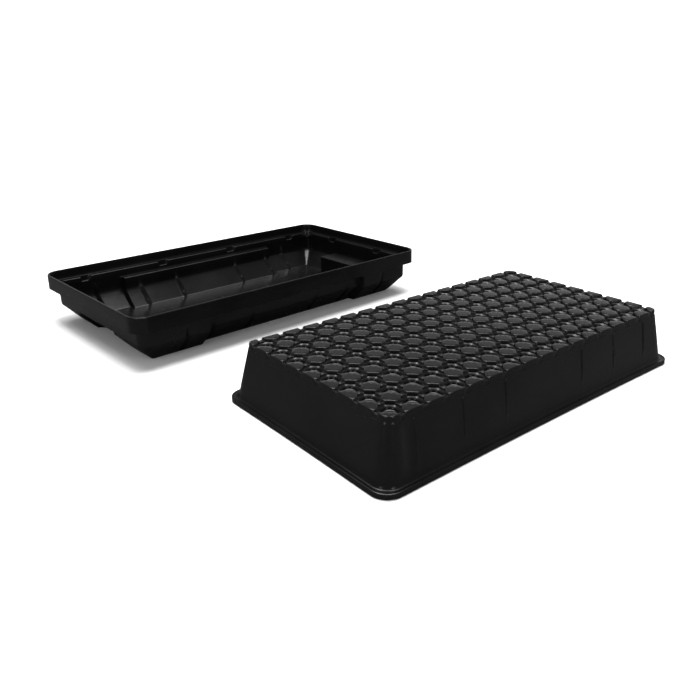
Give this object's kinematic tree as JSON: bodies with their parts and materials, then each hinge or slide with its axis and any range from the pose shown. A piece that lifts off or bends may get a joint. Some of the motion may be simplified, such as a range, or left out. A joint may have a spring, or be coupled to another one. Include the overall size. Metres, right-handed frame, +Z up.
{
  "type": "humidity dome tray",
  "caption": "Black moulded propagation tray set: an open waisted base tray with a stepped rim, and a deep dome tray with a lattice deck of stepped cups, laid upside down beside it.",
  "frame": {"origin": "on the ground, under the middle of the whole set as it lies at rest", "axes": "+X along the base tray's length, +Y from the dome tray towards the base tray, +Z up"},
  "size_m": [0.5775, 0.7608, 0.0765],
  "materials": {
    "base_plastic": "satin black moulded plastic, fine grain",
    "dome_plastic": "satin black moulded plastic, slightly glossier at the edges"
  },
  "bodies": {
    "base_tray": {"base_rim": "base_plastic", "base_seat": "base_plastic", "base_walls": "base_plastic", "base_slopes": "base_plastic", "base_floor": "base_plastic", "base_arches": "base_plastic"},
    "dome_tray": {"dome_flange": "dome_plastic", "dome_walls": "dome_plastic", "dome_deck": "dome_plastic"}
  },
  "joints": [
    {"name": "dome_lift", "type": "slide", "parent": "base_tray", "child": "dome_tray", "axis": [0, 0, 1], "range_m": [0, 0.25]}
  ]
}
